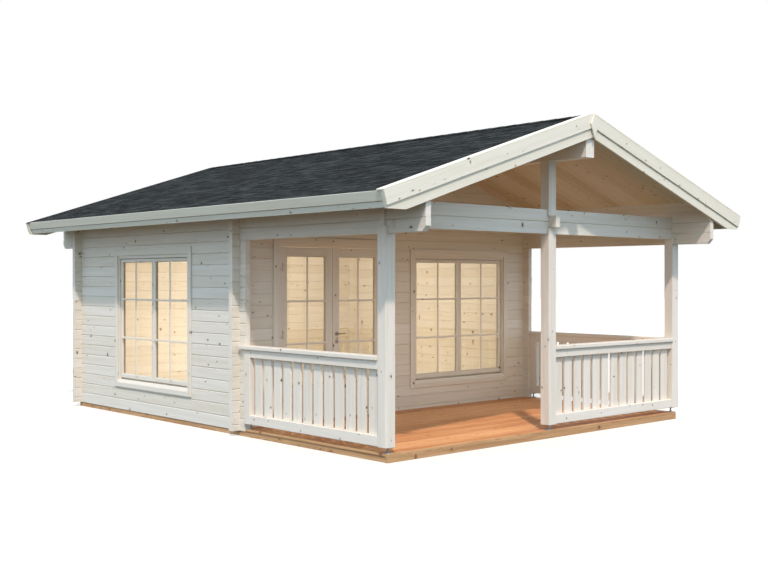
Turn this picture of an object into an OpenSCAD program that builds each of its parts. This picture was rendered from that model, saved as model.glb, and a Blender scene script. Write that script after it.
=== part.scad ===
// Holiday cabin of machined logs: one room behind a full-width veranda,
// both under one gable roof whose ridge runs from front to back.
// Millimetres, +Z up, front gable faces -Y, origin under the centre.

/* [House] */
// Width over the side walls
house_w = 5000; // [4800:10:5300]
// Depth of the room over its front and back wall
room_d = 3975; // [3700:5:4500]
// Depth of the veranda in front of the room
veranda_d = 2495; // [2400:5:2700]
// Thickness of the wall logs
wall_t = 70; // [66:1:74]
// Height of one course of logs
log_h = 135.5; // [135:0.1:136]
// Depth of the groove between two logs
log_groove = 6; // [3:1:10]
// Length of the log ends past a corner
log_end = 105; // [90:5:120]

/* [Base] */
// Height of the foundation beams
base_h = 60; // [58:1:62]
// Thickness of the deck and floor boards
deck_t = 28; // [25:1:30]
// Width of the foundation beams
beam_w = 70; // [60:1:80]
// Bays between the beams under the veranda
bays_veranda = 4; // [4:1:5]
// Bays between the beams under the room
bays_room = 6; // [6:1:8]

/* [Roof] */
// Pitch of the roof in degrees
pitch = 18; // [17.8:0.1:18.2]
// Height of the top of the ridge above ground
ridge_z = 3593; // [3580:1:3610]
// Roof overhang in front of the veranda
front_over = 582; // [560:1:610]
// Roof overhang behind the back wall
back_over = 510; // [490:1:540]
// Roof overhang past the side walls
eave_over = 573; // [560:1:590]
// Thickness of the roof boards
board_t = 20; // [18:1:22]
// Thickness of the roof covering
cover_t = 6; // [4:1:8]
// Thickness of the verge caps
cap_t = 18; // [16:1:20]
// Width of the verge caps
cap_w = 105; // [95:1:120]
// Width of the upper bargeboard
barge_w = 156; // [150:1:165]
// Depth to the lower edge of the second bargeboard
barge_low = 258; // [250:1:262]
// Thickness of the upper bargeboard
barge_t = 16; // [14:0.5:20]
// Thickness of both bargeboards together
barge_d = 47; // [44:1:50]
// Width of the ridge beam
ridge_w = 140; // [120:1:150]
// Height of the underside of the ridge beam
ridge_under = 3106; // [3090:1:3120]

/* [Veranda] */
// Side of the square posts
post = 127; // [120:1:130]
// Height of the adjustable post feet
foot_h = 60; // [50:1:62]
// Height of the top of the handrail above the deck
rail_top = 949; // [930:1:970]
// Thickness of the handrail
rail_t = 45; // [40:1:50]
// Width of the handrail
rail_w = 120; // [110:1:130]
// Width of one baluster
bal_w = 130; // [120:1:135]
// Balusters in a side railing
bal_side = 12; // [11:1:12]
// Balusters in the front railing
bal_front = 13; // [12:1:13]

/* [Openings] */
// Distance of door and window centre from the middle of the front wall
open_x = 1120; // [1110:5:1130]
// Half width of one window between its trims
win_half = 880; // [870:1:890]
// Underside of the window frame
win_z0 = 425; // [420:1:440]
// Top of the window frame
win_z1 = 2117; // [2110:1:2130]
// Distance of the side window centre behind the veranda wall
side_win_y = 1968; // [1940:1:2000]
// Half width of the doorway
door_half = 850; // [840:1:860]
// Top of the door frame
door_z1 = 2212; // [2200:1:2220]
// Width of the trim boards
trim_w = 68; // [60:1:72]
// Thickness of the trim boards
trim_t = 20; // [16:1:24]
// Clearance round a door leaf
door_gap = 5; // [5:0.5:7]

/* [Hidden] */
$fn = 48;

xw = house_w / 2;
y_rf = -(front_over + veranda_d + room_d + back_over) / 2;
y_rb = -y_rf;
y_b = y_rf + front_over;
y_v = y_b + veranda_d;
y_e = y_v + room_d;
z_d = base_h + deck_t;
tp = tan(pitch);
cp = cos(pitch);
sp = sin(pitch);
roof_n = cap_t + cover_t + board_t;
eave_x = xw + eave_over;
slope_l = eave_x / cp;
// Outer face of the eave fascia down the slope, and the depths of its joint and lower edge
fascia_s = slope_l - 18;
fascia_n1 = 118;
fascia_n2 = 182;
// Thickness of the fascia's lip in front of the edge of the covering
lip = 8;
// Gap left where sloping faces lie on each other
seam = 0.1;
pale = [0.86, 0.84, 0.78];
pine = [0.85, 0.70, 0.50];
tan_wood = [0.78, 0.62, 0.42];
slate = [0.22, 0.25, 0.28];
steel = [0.62, 0.64, 0.66];

// Height of the top of the verge caps, and of the roof boards' underside
function top_z(x) = ridge_z - tp * abs(x);
function under_z(x) = top_z(x) - roof_n / cp;
// Joint lines: side walls start with a whole log, cross walls with half a log
function side_z(n) = base_h + n * log_h;
function cross_z(n) = base_h + log_h / 2 + n * log_h;
// Point of the roof section at a distance down the slope and a depth below its top
function slope_pt(s, n) = [s * cp - n * sp, ridge_z - s * sp - n * cp];

// Joint heights between z0 and z1 for courses that start at first
function joints(z0, z1, first) =
  [for (n = [0:26]) let (z = first + n * log_h) if (z > z0 + 12 && z < z1 - 12) z];

// Section of a stack of logs: depth across, height up, a V groove at each joint
module log_section(z0, z1, first) {
  j = joints(z0, z1, first);
  k = len(j);
  g = log_groove;
  polygon(concat(
    [[0, z0]],
    [for (i = [0:1:k - 1]) each [[0, j[i] - g], [g, j[i]], [0, j[i] + g]]],
    [[0, z1], [wall_t, z1]],
    [for (i = [k - 1:-1:0]) each [[wall_t, j[i] + g], [wall_t - g, j[i]], [wall_t, j[i] - g]]],
    [[wall_t, z0]]));
}

// Stack of logs along Y, from y0 to y1, its low-X face at x0
module logs_y(x0, y0, y1, z0, z1)
  translate([x0, y1, 0]) rotate([90, 0, 0])
    linear_extrude(y1 - y0) log_section(z0, z1, base_h);

// Stack of logs along X, from x0 to x1, its front face at y0
module logs_x(x0, x1, y0, z0, z1)
  translate([x0, y0, 0]) rotate([90, 0, 90])
    linear_extrude(x1 - x0) log_section(z0, z1, base_h + log_h / 2);

// Extrude a section drawn in X and Z along Y
module along_y(y0, y1)
  translate([0, y1, 0]) rotate([90, 0, 0]) linear_extrude(y1 - y0) children();

// Everything below the underside of the roof boards, a hair's breadth clear of it
module below_roof(y0, y1)
  along_y(y0, y1) polygon([[-eave_x, 0], [eave_x, 0], [eave_x, under_z(eave_x) - seam],
    [0, under_z(0) - seam], [-eave_x, under_z(eave_x) - seam]]);

module box(x0, x1, y0, y1, z0, z1)
  translate([x0, y0, z0]) cube([x1 - x0, y1 - y0, z1 - z0]);

module both_sides() { children(); mirror([1, 0, 0]) children(); }

/* ---- base ---- */
// Bays of the base between two beams, on both sides of a middle beam
module base_bays(y0, y1, count) {
  p = (y1 - y0 - beam_w) / count;
  for (i = [0:count - 1]) both_sides()
    box(beam_w / 2, xw - beam_w, y0 + beam_w + i * p, y0 + (i + 1) * p, -1, base_h + 1);
}
// The side beams stand back a little under the walls and the deck; the front board does not
base_in = 10;
module base_frame() color(tan_wood)
  difference() {
    union() {
      box(-xw + base_in, xw - base_in, y_b, y_e, 0, base_h);
      box(-xw, xw, y_b, y_b + 28, 0, base_h);
    }
    base_bays(y_b, y_v + beam_w, bays_veranda);
    base_bays(y_v, y_e, bays_room);
  }

module veranda_deck() color([0.80, 0.55, 0.36])
  difference() {
    box(-xw, xw, y_b, y_v, base_h, z_d);
    both_sides() box(xw - wall_t, xw + 1, y_v - log_end, y_v + 1, base_h - 1, z_d + 1);
  }

module room_floor() color(pine)
  box(-xw + wall_t, xw - wall_t, y_v + wall_t, y_e - wall_t, base_h, z_d);

/* ---- walls ---- */
side_top = side_z(16);
y_sw = y_v + side_win_y;

module left_wall_front() color(pale)
  logs_y(-xw, y_v - log_end, y_sw - win_half, base_h, side_top);

module left_wall_back() color(pale)
  logs_y(-xw, y_sw + win_half, y_e + log_end, base_h, side_top);

module left_wall_at_window() color(pale) {
  logs_y(-xw, y_sw - win_half, y_sw + win_half, base_h, win_z0);
  logs_y(-xw, y_sw - win_half, y_sw + win_half, win_z1, side_top);
}

// Upper courses, which run on past both gables and carry the eaves
module side_top_logs(x0) {
  y0 = y_rf + barge_d + 1;
  y1 = y_rb - barge_d - 13;
  y2 = y_rb - 2;
  intersection() {
    logs_y(x0, y0, y2, side_top, under_z(xw - wall_t) + 20);
    below_roof(y0 - 5, y2 + 5);
    translate([-xw - 50, 0, 0]) rotate([90, 0, 90]) linear_extrude(house_w + 100)
      polygon([[y0 + 51, side_top], [y2 - 51, side_top], [y2, side_top + 57], [y2, side_z(18)],
        [y1, side_z(18)], [y1, ridge_z], [y0, ridge_z], [y0, side_top + 57]]);
  }
}
module left_wall_top() color(pale) side_top_logs(-xw);
module right_wall_top() color(pale) side_top_logs(xw - wall_t);

module right_wall() color(pale)
  logs_y(xw - wall_t, y_v - log_end, y_e + log_end, base_h, side_top);

module gable_logs(y0, z0) {
  difference() {
    intersection() {
      logs_x(-xw + wall_t, xw - wall_t, y0, z0, ridge_z);
      below_roof(y0 - 5, y0 + wall_t + 5);
    }
    box(-ridge_w / 2, ridge_w / 2, y0 - 5, y0 + wall_t + 5, ridge_under, ridge_z);
  }
}
module back_wall() color(pale) gable_logs(y_e - wall_t, base_h);
module front_wall_gable() color(pale) gable_logs(y_v, door_z1);

module front_wall_left() color(pale)
  logs_x(-xw + wall_t, -open_x - door_half, y_v, base_h, door_z1);
module front_wall_middle() color(pale)
  logs_x(-open_x + door_half, open_x - win_half, y_v, base_h, door_z1);
module front_wall_right() color(pale)
  logs_x(open_x + win_half, xw - wall_t, y_v, base_h, door_z1);
module front_wall_at_window() color(pale) {
  logs_x(open_x - win_half, open_x + win_half, y_v, base_h, win_z0);
  logs_x(open_x - win_half, open_x + win_half, y_v, win_z1, door_z1);
}

module corner_log_ends() color(pale)
  both_sides() for (y0 = [y_v, y_e - wall_t])
    intersection() {
      logs_x(xw, xw + log_end, y0, base_h, ridge_z);
      below_roof(y0 - 5, y0 + wall_t + 5);
    }

/* ---- veranda frame ---- */
tie_z0 = cross_z(16);
tie_z1 = cross_z(18);
// Front face of the posts, a little in front of the deck's edge
post_y = y_b - 16;
tie_y = post_y + (post - wall_t) / 2;
block_z0 = side_z(17);
block_z1 = side_z(18);
// Outer faces of the corner posts and of the side railings
post_x = xw + 31;
rail_x = xw + 25;

module front_tie_beam() color(pale) {
  difference() {
    logs_x(-xw + wall_t, xw - wall_t, tie_y, tie_z0, tie_z1);
    box(-wall_t / 2, wall_t / 2, tie_y - 5, tie_y + wall_t + 5, block_z0, block_z1);
  }
  both_sides() logs_x(xw, post_x, tie_y, tie_z0, tie_z1);
}

module centre_block() color(pale)
  box(-wall_t / 2, wall_t / 2, post_y - 77, post_y + post + 97, block_z0, block_z1);

module king_post() color(pale)
  difference() {
    box(-post / 2, post / 2, post_y, post_y + post, block_z1, ridge_under);
    box(-post, post, tie_y, tie_y + wall_t, block_z1 - 5, tie_z1);
  }

module veranda_posts() color(pale) {
  both_sides() difference() {
    box(post_x - post, post_x, post_y, post_y + post, z_d + foot_h, tie_z0);
    box(xw - wall_t, xw, post_y - 5, post_y + post + 5, side_top, tie_z0 + 5);
  }
  difference() {
    box(-post / 2, post / 2, post_y, post_y + post, z_d + foot_h, block_z0);
    box(-post, post, tie_y, tie_y + wall_t, tie_z0, block_z0 + 5);
  }
}

stile_y = y_v - log_end - 124;
module foot(x, y, a) translate([x, y, z_d]) {
  translate([-a / 2, -a / 2, 0]) cube([a, a, 6]);
  cylinder(h = foot_h, r = 10);
  translate([-a / 2, -a / 2, foot_h - 6]) cube([a, a, 6]);
}
module post_feet() color(steel) {
  both_sides() foot(xw - 50, post_y + post / 2, 80);
  foot(0, post_y + post / 2, 80);
  both_sides() foot(xw - 35, stile_y + 62, 60);
}

// Railing panel along X from 0 to l, outer face at y = 0: handrail, two rails, balusters
module panel(l, count) {
  zt = z_d + rail_top;
  box(0, l, -25, rail_w - 25, zt - rail_t, zt);
  box(0, l, 0, 70, zt - rail_t - 90, zt - rail_t);
  box(0, l, 0, 70, 152, 257);
  g = (l - count * bal_w) / (count + 1);
  for (i = [0:count - 1])
    box(g + i * (bal_w + g), g + i * (bal_w + g) + bal_w, 40, 64, 250, zt - rail_t - 85);
}

// Side railing: the panel runs from the post to a stile against the log ends
module side_railing() {
  y0 = post_y + post;
  translate([rail_x, y0, 0]) rotate([0, 0, 90]) panel(stile_y - y0, bal_side);
  box(rail_x - 70, rail_x, stile_y, y_v - log_end, z_d + foot_h, z_d + rail_top - rail_t);
  box(rail_x + 25 - rail_w, rail_x + 25, stile_y - 5, y_v - log_end,
      z_d + rail_top - rail_t, z_d + rail_top);
  // outer part of the handrail runs on beside the log ends
  box(xw + 2, rail_x + 25, y_v - log_end - 5, y_v - log_end + 70,
      z_d + rail_top - rail_t, z_d + rail_top);
}
module right_railing() color(pale) side_railing();
module left_railing() color(pale) mirror([1, 0, 0]) side_railing();
module front_railing() color(pale)
  translate([post / 2, y_b, 0]) panel(post_x - 1.5 * post, bal_front);

/* ---- roof ---- */
module ridge_beam() color(pale)
  along_y(y_rf + barge_d, y_rb - barge_d)
    polygon([[-ridge_w / 2, ridge_under], [ridge_w / 2, ridge_under],
      [ridge_w / 2, under_z(ridge_w / 2) - seam], [0, under_z(0) - seam],
      [-ridge_w / 2, under_z(ridge_w / 2) - seam]]);

// Layer of the right roof slope between two depths, out to a square end at s1
module slope_layer(n1, n2, s1, y0, y1)
  along_y(y0, y1) polygon([[0.5, top_z(0.5) - n2 / cp], slope_pt(s1, n2),
    slope_pt(s1, n1), [0.5, top_z(0.5) - n1 / cp]]);

module roof_boards() color(pine)
  both_sides() slope_layer(cap_t + cover_t, roof_n, fascia_s - 28 - seam, y_rf + barge_d, y_rb - barge_d);
// Covering between the bargeboards, and a strip of it lapped over the back bargeboards
lap_n = cap_t - 5.5;
module roof_covering() color(slate)
  both_sides() {
    slope_layer(cap_t + seam, cap_t + cover_t - seam, fascia_s - lip - seam, y_rf + barge_d, y_rb - barge_d);
    slope_layer(lap_n, cap_t - seam, slope_l, y_rb - cap_w, y_rb);
  }
module ridge_cap() color(slate)
  along_y(y_rf + cap_w, y_rb - cap_w)
    polygon([[-120, top_z(120) - 18 / cp], [0, top_z(0) - 18 / cp], [120, top_z(120) - 18 / cp],
      [120, top_z(120) - 12 / cp], [0, top_z(0) - 12 / cp], [-120, top_z(120) - 12 / cp]]);

// Board of the right slope with its end cut square to the slope
module slope_board(n1, n2, y0, y1)
  along_y(y0, y1) polygon([slope_pt(n1 * tp + 0.6, n1), slope_pt(slope_l, n1),
    slope_pt(slope_l, n2), slope_pt(n2 * tp + 0.6, n2)]);

// Caps on the front verge
module verge_caps() color(pale)
  both_sides() slope_board(0, cap_t, y_rf, y_rf + cap_w);

// Height where the deeper bargeboard is cut level, a little under the fascia's lower edge
barge_z0 = slope_pt(fascia_s, fascia_n2)[1] - 6;
// Bargeboard of the right slope at y0: upper board outside, deeper board behind it
module barge(y0, dir) {
  ya = dir > 0 ? y0 : y0 - barge_t;
  yb = dir > 0 ? y0 + barge_t : y0 - barge_d;
  slope_board(cap_t, barge_w, ya, ya + barge_t);
  se = slope_l - 3;
  zl = ridge_z - barge_low / cp;
  along_y(yb, yb + barge_d - barge_t) polygon([[0.6, top_z(0.6) - cap_t / cp - seam], slope_pt(se, cap_t + seam),
    slope_pt(se, (ridge_z - se * sp - barge_z0) / cp), [(zl - barge_z0) / tp, barge_z0],
    [0.6, zl - 0.6 * tp]]);
}
module front_bargeboards() color(pale) both_sides() barge(y_rf, 1);
module back_bargeboards() color(pale) both_sides() barge(y_rb, -1);

// Kite-shaped board over the mitre of the bargeboards
module apex_covers() color(pale)
  for (end = [[y_rf - 18, ridge_z], [y_rb, ridge_z - lap_n / cp]]) along_y(end[0], end[0] + 18)
    polygon([[0, end[1]], [-66, end[1] - 128], [0, end[1] - 280], [66, end[1] - 128]]);

// Fascia along each eave, square to the slope: thick upper board, thinner lower board set back
module eave_fascias() color(pale)
  both_sides() along_y(y_rf + barge_d, y_rb - barge_d) {
    s = fascia_s;
    n0 = cap_t + cover_t + seam;
    polygon([slope_pt(s - 28, n0), slope_pt(s - lip, n0), slope_pt(s - lip, cap_t + seam),
      slope_pt(s, cap_t + seam), slope_pt(s, fascia_n1),
      slope_pt(s - 9, fascia_n1), slope_pt(s - 9, fascia_n2), slope_pt(s - 28, fascia_n2)]);
  }

/* ---- windows: drawn facing -Y, centred on x = 0, wall face at y = 0 ---- */
// Sashes stand between these depths, against the stop of the frame
sash_y0 = 20;
sash_y1 = 64;
stop_y = sash_y1 + 1;
// Frame and trim round the opening, with a rebate for the sashes and a sloped sill
module window_frame() {
  h = win_half;
  difference() {
    union() {
      box(-h, h, 0, 80, win_z0, win_z1);
      box(-h - trim_w, h + trim_w, -trim_t, 0, win_z0 - trim_w, win_z1 + trim_w);
    }
    box(-h + 30, h - 30, -1, stop_y, win_z0 + 31, win_z1 - 60);
    box(-h + 58, h - 58, stop_y - 1, 90, win_z0 + 90, win_z1 - 92);
    box(-h + 4, h - 4, -trim_t - 1, 0, win_z0 - 13, win_z1 - 19);
  }
  translate([-h, 0, 0]) rotate([90, 0, 90]) linear_extrude(2 * h)
    polygon([[-trim_t, win_z0 - 14], [0, win_z0 - 14], [0, win_z0 + 1], [1, win_z0 + 1], [1, win_z0 + 31],
      [0, win_z0 + 31], [-trim_t, win_z0 - 12]]);
}
sash_z0 = win_z0 + 53;
sash_z1 = win_z1 - 67;
glass_x0 = 40;
glass_x1 = win_half - 74;
glass_z0 = win_z0 + 103;
glass_z1 = win_z1 - 105;
module window_sashes()
  both_sides() difference() {
    box(2, win_half - 33, sash_y0, sash_y1, sash_z0, sash_z1);
    box(glass_x0, glass_x1, sash_y0 - 5, sash_y1 + 5, glass_z0, glass_z1);
  }
module window_panes()
  both_sides() box(glass_x0, glass_x1, 38, 44, glass_z0, glass_z1);

module at_front_window() translate([open_x, y_v, 0]) children();
module at_left_window() translate([-xw, y_sw, 0]) rotate([0, 0, -90]) children();

module left_window_frame() color(pale) at_left_window() window_frame();
module left_window_sashes() color(pale) at_left_window() window_sashes();
module front_window_frame() color(pale) at_front_window() window_frame();
module front_window_sashes() color(pale) at_front_window() window_sashes();
module window_glass() color([0.75, 0.82, 0.85, 0.4]) {
  at_left_window() window_panes();
  at_front_window() window_panes();
}

/* ---- double door ---- */
sill_z = z_d + 20;
leaf_out = door_half - 75;
leaf_in = door_gap / 2;
leaf_z0 = sill_z + door_gap;
leaf_z1 = door_z1 - 40 - door_gap;
hinge_r = 6.5;
pane_x0 = 106;
pane_x1 = leaf_out - 78;
pane_z0 = 505;
pane_z1 = leaf_z1 - 105;

module at_door() translate([-open_x, y_v, 0]) children();

module door_frame() color(pale) at_door() {
  difference() {
    union() {
      box(-door_half, door_half, 0, 80, base_h, door_z1);
      difference() {
        box(-door_half - trim_w, door_half + trim_w, -trim_t, 0, z_d, door_z1 + trim_w);
        box(-door_half + 4, door_half - 4, -trim_t - 1, 1, z_d - 1, door_z1 - 4);
      }
    }
    box(-door_half + 70, door_half - 70, -1, 90, sill_z, door_z1 - 40);
    box(-door_half - 1, door_half + 1, wall_t, 90, base_h - 1, z_d);
  }
}

// Right leaf: framed, glazed above, with a bottom panel and three hinge barrels
module leaf() {
  difference() {
    box(leaf_in, leaf_out, 15, 55, leaf_z0, leaf_z1);
    box(pane_x0, pane_x1, 10, 60, pane_z0, pane_z1);
    for (y = [10, 47]) box(pane_x0, pane_x1, y, y + 13, leaf_z0 + 150, pane_z0 - 100);
  }
  for (z = [330, 1130, 1930]) translate([leaf_out + 2.5, -9, z]) {
    cylinder(h = 50, r = hinge_r);
    translate([-hinge_r, 0, 5]) cube([4, 26, 40]);
  }
}
module leaf_pane() box(pane_x0, pane_x1, 32, 38, pane_z0, pane_z1);

module right_door() color(pale) at_door() leaf();
module left_door() color(pale) at_door() mirror([1, 0, 0]) leaf();
module right_door_glass() color([0.75, 0.82, 0.85, 0.4]) at_door() leaf_pane();
module left_door_glass() color([0.75, 0.82, 0.85, 0.4]) at_door() mirror([1, 0, 0]) leaf_pane();

// Lever and key plate on both faces of the right leaf
module door_handle() color(steel) at_door()
  for (q = [0, 1]) translate([61, q == 0 ? 15 : 55, 1115]) rotate([0, 0, q == 0 ? 0 : 180]) {
    rotate([90, 0, 0]) cylinder(h = 8, r = 26);
    rotate([90, 0, 0]) cylinder(h = 48, r = 9);
    translate([0, -41, 0]) rotate([0, q == 0 ? 90 : -90, 0]) cylinder(h = 115, r = 9);
    translate([0, 0, -95]) rotate([90, 0, 0]) cylinder(h = 8, r = 26);
  }

base_frame();
veranda_deck();
room_floor();
left_wall_front();
left_wall_back();
left_wall_at_window();
left_wall_top();
right_wall();
right_wall_top();
back_wall();
front_wall_left();
front_wall_middle();
front_wall_right();
front_wall_at_window();
front_wall_gable();
corner_log_ends();
front_tie_beam();
centre_block();
king_post();
veranda_posts();
post_feet();
left_railing();
front_railing();
right_railing();
ridge_beam();
roof_boards();
roof_covering();
ridge_cap();
verge_caps();
front_bargeboards();
back_bargeboards();
apex_covers();
eave_fascias();
left_window_frame();
left_window_sashes();
front_window_frame();
front_window_sashes();
window_glass();
door_frame();
left_door();
left_door_glass();
right_door();
right_door_glass();
door_handle();
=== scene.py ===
"""Looks of the log cabin: every board, log and shingle is its own closed mesh, in metres, in the frame of the part."""
import math
import random
import bpy
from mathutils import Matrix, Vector


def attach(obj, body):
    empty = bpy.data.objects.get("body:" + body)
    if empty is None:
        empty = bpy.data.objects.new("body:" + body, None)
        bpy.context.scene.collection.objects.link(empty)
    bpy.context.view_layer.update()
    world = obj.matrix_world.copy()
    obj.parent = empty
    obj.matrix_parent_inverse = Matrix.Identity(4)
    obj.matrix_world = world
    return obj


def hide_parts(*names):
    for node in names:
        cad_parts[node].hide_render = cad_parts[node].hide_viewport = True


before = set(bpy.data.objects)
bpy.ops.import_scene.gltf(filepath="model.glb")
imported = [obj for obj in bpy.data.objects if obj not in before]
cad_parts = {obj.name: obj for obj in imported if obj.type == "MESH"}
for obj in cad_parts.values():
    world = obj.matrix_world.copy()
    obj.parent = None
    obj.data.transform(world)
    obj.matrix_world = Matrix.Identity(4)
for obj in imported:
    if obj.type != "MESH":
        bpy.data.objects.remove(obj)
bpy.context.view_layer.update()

# ---------------------------------------------------------------- sizes
XW, T, LH = 2.5, 0.070, 0.1355
YRF, YRB, YB, YV, YE = -3.781, 3.781, -3.199, -0.704, 3.271
ZB, ZD = 0.060, 0.088
PITCH = math.radians(18)
TP, CP, SP = math.tan(PITCH), math.cos(PITCH), math.sin(PITCH)
RIDGE = 3.593
EAVE_X = 3.073
OPEN_X = 1.120
YS = YV + 1.968
POST, FOOT = 0.127, 0.060


def top(x):
    return RIDGE - TP * abs(x)


def under(x):
    return top(x) - 0.044 / CP - 0.0002


def x_roof(z):
    return (under(0) - z) / TP


def side_z(n):
    return ZB + n * LH


def cross_z(n):
    return ZB + LH / 2 + n * LH


SL = EAVE_X / CP
FASC_S, FASC_N1, FASC_N2 = SL - 0.018, 0.118, 0.182
BARGE_Z0 = RIDGE - FASC_S * SP - FASC_N2 * CP - 0.006
SIDE_TOP = side_z(16)
X, Y, Z = Vector((1, 0, 0)), Vector((0, 1, 0)), Vector((0, 0, 1))
O = Vector((0, 0, 0))


# ---------------------------------------------------------------- mesh building
def inset(poly, d):
    """The outline moved inwards by d; poly runs anticlockwise."""
    out, n = [], len(poly)
    for i in range(n):
        (x0, y0), (x1, y1), (x2, y2) = poly[i - 1], poly[i], poly[(i + 1) % n]
        l1, l2 = math.hypot(x1 - x0, y1 - y0), math.hypot(x2 - x1, y2 - y1)
        n1 = (-(y1 - y0) / l1, (x1 - x0) / l1)
        n2 = (-(y2 - y1) / l2, (x2 - x1) / l2)
        k = max(0.3, 1 + n1[0] * n2[0] + n1[1] * n2[1])
        out.append((x1 + d * (n1[0] + n2[0]) / k, y1 + d * (n1[1] + n2[1]) / k))
    return out


def rect(a0, a1, b0, b1, c=0.003):
    """Rectangle with cut corners."""
    return [(a0 + c, b0), (a1 - c, b0), (a1, b0 + c), (a1, b1 - c),
            (a1 - c, b1), (a0 + c, b1), (a0, b1 - c), (a0, b0 + c)]


def rrect(a0, a1, b0, b1, r, n=3, low=None):
    """Rectangle with round corners; low is the radius of the lower two."""
    pts = []
    low = r if low is None else low
    for (ca, cb, s), rr in zip((((a1, b0, 3)), ((a1, b1, 0)), ((a0, b1, 1)), ((a0, b0, 2))), (low, r, r, low)):
        oa = ca - rr if ca == a1 else ca + rr
        ob = cb - rr if cb == b1 else cb + rr
        for i in range(n + 1):
            t = math.pi / 2 * (s + i / n)
            pts.append((oa + rr * math.cos(t), ob + rr * math.sin(t)))
    return pts


def circle(r, n=24, a=0.0, b=0.0):
    return [(a + r * math.cos(2 * math.pi * i / n), b + r * math.sin(2 * math.pi * i / n)) for i in range(n)]


class Piece:
    """One visual piece: closed solids with a grain coordinate and a random tone on each board."""

    def __init__(self, name):
        self.name = name
        self.rng = random.Random("cabin-" + name)
        self.v, self.f, self.m, self.s, self.g, self.r = [], [], [], [], [], []

    def grain(self, span=0.07):
        q = self.rng
        return (q.uniform(0, 40), q.uniform(-span, span), q.choice((-1, 1)) * q.uniform(0.02, span), q.random())

    def prism(self, poly, o, A, B, U, u0, u1, ch=0.0, cut0=None, cut1=None, mats=0, ends=0,
              smooth=False, grain=None, gaxis="u", warp=None):
        n = len(poly)
        if isinstance(mats, int):
            mats = [mats] * n
        area = sum(poly[i - 1][0] * poly[i][1] - poly[i][0] * poly[i - 1][1] for i in range(n))
        if area < 0:
            poly = poly[::-1]
            mats = [mats[(n - 2 - i) % n] for i in range(n)]
        flip = A.cross(B).dot(U) < 0
        c0, c1 = ch if isinstance(ch, tuple) else (ch, ch)
        e0 = cut0 or (lambda a, b: u0)
        e1 = cut1 or (lambda a, b: u1)
        rings = [(poly, e0, c0), (poly, e1, -c1)]
        if c0:
            rings.insert(0, (inset(poly, c0), e0, 0.0))
        if c1:
            rings.append((inset(poly, c1), e1, 0.0))
        gr = grain or self.grain()
        ca = sum(p[0] for p in poly) / n
        cb = sum(p[1] for p in poly) / n
        base = len(self.v)
        for pl, e, off in rings:
            for a, b in pl:
                u = e(a, b) + off
                p = o + A * a + B * b + U * u
                if warp:
                    p = warp(p)
                self.v.append(p)
                if gaxis == "u":
                    g = (u + gr[0], a - ca + gr[1], b - cb + gr[2])
                elif gaxis == "a":
                    g = (a + gr[0], b - cb + gr[1], u - u0 + gr[2])
                else:
                    g = (b + gr[0], a - ca + gr[1], u - u0 + gr[2])
                self.g.append(g)
                self.r.append(gr[3])
        for k in range(len(rings) - 1):
            for i in range(n):
                j = (i + 1) % n
                q = [base + k * n + i, base + k * n + j, base + (k + 1) * n + j, base + (k + 1) * n + i]
                self.face(q, flip, mats[i], smooth)
        last = base + (len(rings) - 1) * n
        self.face([base + n - 1 - i for i in range(n)], flip, ends, False)
        self.face([last + i for i in range(n)], flip, ends, False)

    def face(self, q, flip, mat, smooth):
        self.f.append(q[::-1] if flip else q)
        self.m.append(mat)
        self.s.append(smooth)

    def box(self, F, x0, x1, y0, y1, z0, z1, along="x", c=0.003, mat=0, **kw):
        """Board with cut edges in the frame F = (origin, its x, its y); along names the grain."""
        o, LX, LY = F
        if along == "x":
            self.prism(rect(y0, y1, z0, z1, c), o, LY, Z, LX, x0, x1, ch=kw.pop("ch", c), mats=mat, ends=mat, **kw)
        elif along == "y":
            self.prism(rect(x0, x1, z0, z1, c), o, LX, Z, LY, y0, y1, ch=kw.pop("ch", c), mats=mat, ends=mat, **kw)
        else:
            self.prism(rect(x0, x1, y0, y1, c), o, LX, LY, Z, z0, z1, ch=kw.pop("ch", c), mats=mat, ends=mat, **kw)

    def make(self, body, nodes, mats):
        me = bpy.data.meshes.new(self.name)
        me.from_pydata([tuple(p) for p in self.v], [], self.f)
        me.polygons.foreach_set("material_index", self.m)
        me.polygons.foreach_set("use_smooth", self.s)
        at = me.attributes.new("gco", "FLOAT_VECTOR", "POINT")
        at.data.foreach_set("vector", [c for g in self.g for c in g])
        at = me.attributes.new("rnd", "FLOAT", "POINT")
        at.data.foreach_set("value", self.r)
        for m in mats:
            me.materials.append(m)
        me.update()
        ob = bpy.data.objects.new(self.name, me)
        bpy.context.scene.collection.objects.link(ob)
        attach(ob, body)
        if nodes:
            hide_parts(*nodes)
        return ob


WORLD = (O, X, Y)


# ---------------------------------------------------------------- materials
def lin(r, g, b):
    def c(v):
        v /= 255.0
        return v / 12.92 if v <= 0.04045 else ((v + 0.055) / 1.055) ** 2.4
    return (c(r), c(g), c(b), 1.0)


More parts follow.
